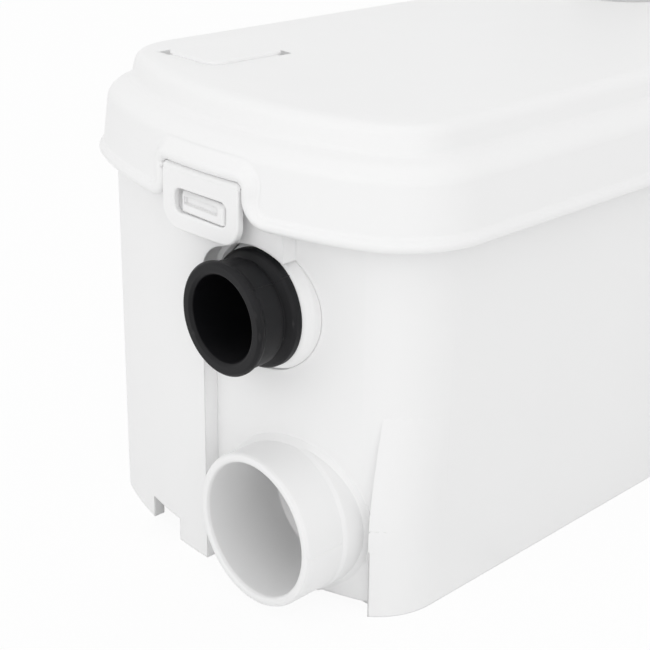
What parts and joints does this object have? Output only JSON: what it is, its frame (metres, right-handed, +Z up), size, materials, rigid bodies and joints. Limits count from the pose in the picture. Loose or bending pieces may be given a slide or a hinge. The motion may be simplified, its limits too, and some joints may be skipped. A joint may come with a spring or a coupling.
{
  "type": "sewage lifting unit",
  "caption": "Low tank with a clipped, stepped lid, a low pipe inlet at each end, a sleeved upper inlet, a top outlet elbow and a pump, valves and level switch inside.",
  "frame": {"origin": "middle of the tank's foot plane, on the floor", "axes": "+Z up, X along the tank with the end that has both inlets at -X, -Y towards the plain long side"},
  "size_m": [0.3046, 0.1683, 0.2186],
  "materials": {
    "white_shell": "fine satin",
    "black_rubber": "satin",
    "soft_seal": "matt",
    "pipe_white": "satin",
    "pump_grey": "matt",
    "impeller_black": "matt",
    "motor_metal": "satin",
    "steel": "brushed",
    "stator_iron": "varnished",
    "filter_carbon": "fibrous",
    "switch_red": "matt",
    "box_grey": "matt"
  },
  "bodies": {
    "tank": {"tank": "white_shell", "rim_seal": "soft_seal", "left_catch": "white_shell", "right_catch": "white_shell", "left_inlet": "white_shell", "right_inlet": "white_shell", "flap_pins": "steel", "upper_inlet_neck": "white_shell", "inlet_sleeve": "black_rubber", "pump_dampers": "black_rubber", "strainer": "pump_grey", "volute": "pump_grey", "stator": "stator_iron", "lower_bearing": "steel", "upper_bearing": "steel", "shaft_seal": "black_rubber", "motor_housing": "motor_metal", "motor_cap": "pump_grey", "pump_screws": "steel", "discharge_coupling": "black_rubber", "hose_clamps": "steel", "discharge_pipe": "pipe_white", "valve_body": "pipe_white", "valve_pin": "steel", "air_bell": "pipe_white", "switch_housing": "box_grey", "membrane": "black_rubber", "microswitch": "switch_red", "junction_box": "box_grey", "junction_cover": "box_grey", "capacitor": "pump_grey", "motor_lead": "impeller_black", "cable_gland": "impeller_black", "gland_nut": "impeller_black"},
    "lid": {"lid": "white_shell", "latch_pins": "steel", "elbow_grommet": "soft_seal", "vent_filter": "filter_carbon"},
    "left_latch": {"left_latch": "white_shell"},
    "right_latch": {"right_latch": "white_shell"},
    "vent_cover": {"vent_cover": "white_shell"},
    "discharge_elbow": {"discharge_elbow": "pipe_white"},
    "left_inlet_flap": {"left_inlet_flap": "black_rubber"},
    "right_inlet_flap": {"right_inlet_flap": "black_rubber"},
    "valve_flap": {"valve_flap": "black_rubber"},
    "motor_rotor": {"shaft": "steel", "rotor": "stator_iron", "impeller": "impeller_black", "impeller_nut": "steel"},
    "switch_plunger": {"switch_plunger": "pipe_white"}
  },
  "joints": [
    {"name": "lid_lift", "type": "slide", "parent": "tank", "child": "lid", "axis": [0, 0, 1], "range_m": [0, 0.06]},
    {"name": "left_latch_swing", "type": "hinge", "parent": "lid", "child": "left_latch", "pos_m": [-0.1488, -0.0054, 0.1352], "axis": [0, 1, 0], "range_deg": [-3.5, 100]},
    {"name": "right_latch_swing", "type": "hinge", "parent": "lid", "child": "right_latch", "pos_m": [0.1488, -0.0054, 0.1352], "axis": [0, -1, 0], "range_deg": [-3.5, 100]},
    {"name": "vent_cover_lift", "type": "slide", "parent": "lid", "child": "vent_cover", "axis": [0, 0, 1], "range_m": [0, 0.02]},
    {"name": "elbow_swivel", "type": "hinge", "parent": "lid", "child": "discharge_elbow", "pos_m": [0.103, 0.026, 0.1586], "axis": [0, 0, 1], "range_deg": [-170, 170]},
    {"name": "impeller_spin", "type": "hinge", "parent": "tank", "child": "motor_rotor", "pos_m": [0, -0.008, 0.0428], "axis": [0, 0, 1], "continuous": true},
    {"name": "left_inlet_flap_swing", "type": "hinge", "parent": "tank", "child": "left_inlet_flap", "pos_m": [-0.11445, -0.0318, 0.0557], "axis": [0, -1, 0], "range_deg": [0, 70]},
    {"name": "right_inlet_flap_swing", "type": "hinge", "parent": "tank", "child": "right_inlet_flap", "pos_m": [0.11445, -0.0318, 0.0557], "axis": [0, 1, 0], "range_deg": [0, 70]},
    {"name": "valve_flap_swing", "type": "hinge", "parent": "tank", "child": "valve_flap", "pos_m": [0.0882, 0.026, 0.0733], "axis": [0, -1, 0], "range_deg": [0, 60]},
    {"name": "plunger_push", "type": "slide", "parent": "tank", "child": "switch_plunger", "axis": [0, 0, 1], "range_m": [0, 0.0012]}
  ]
}
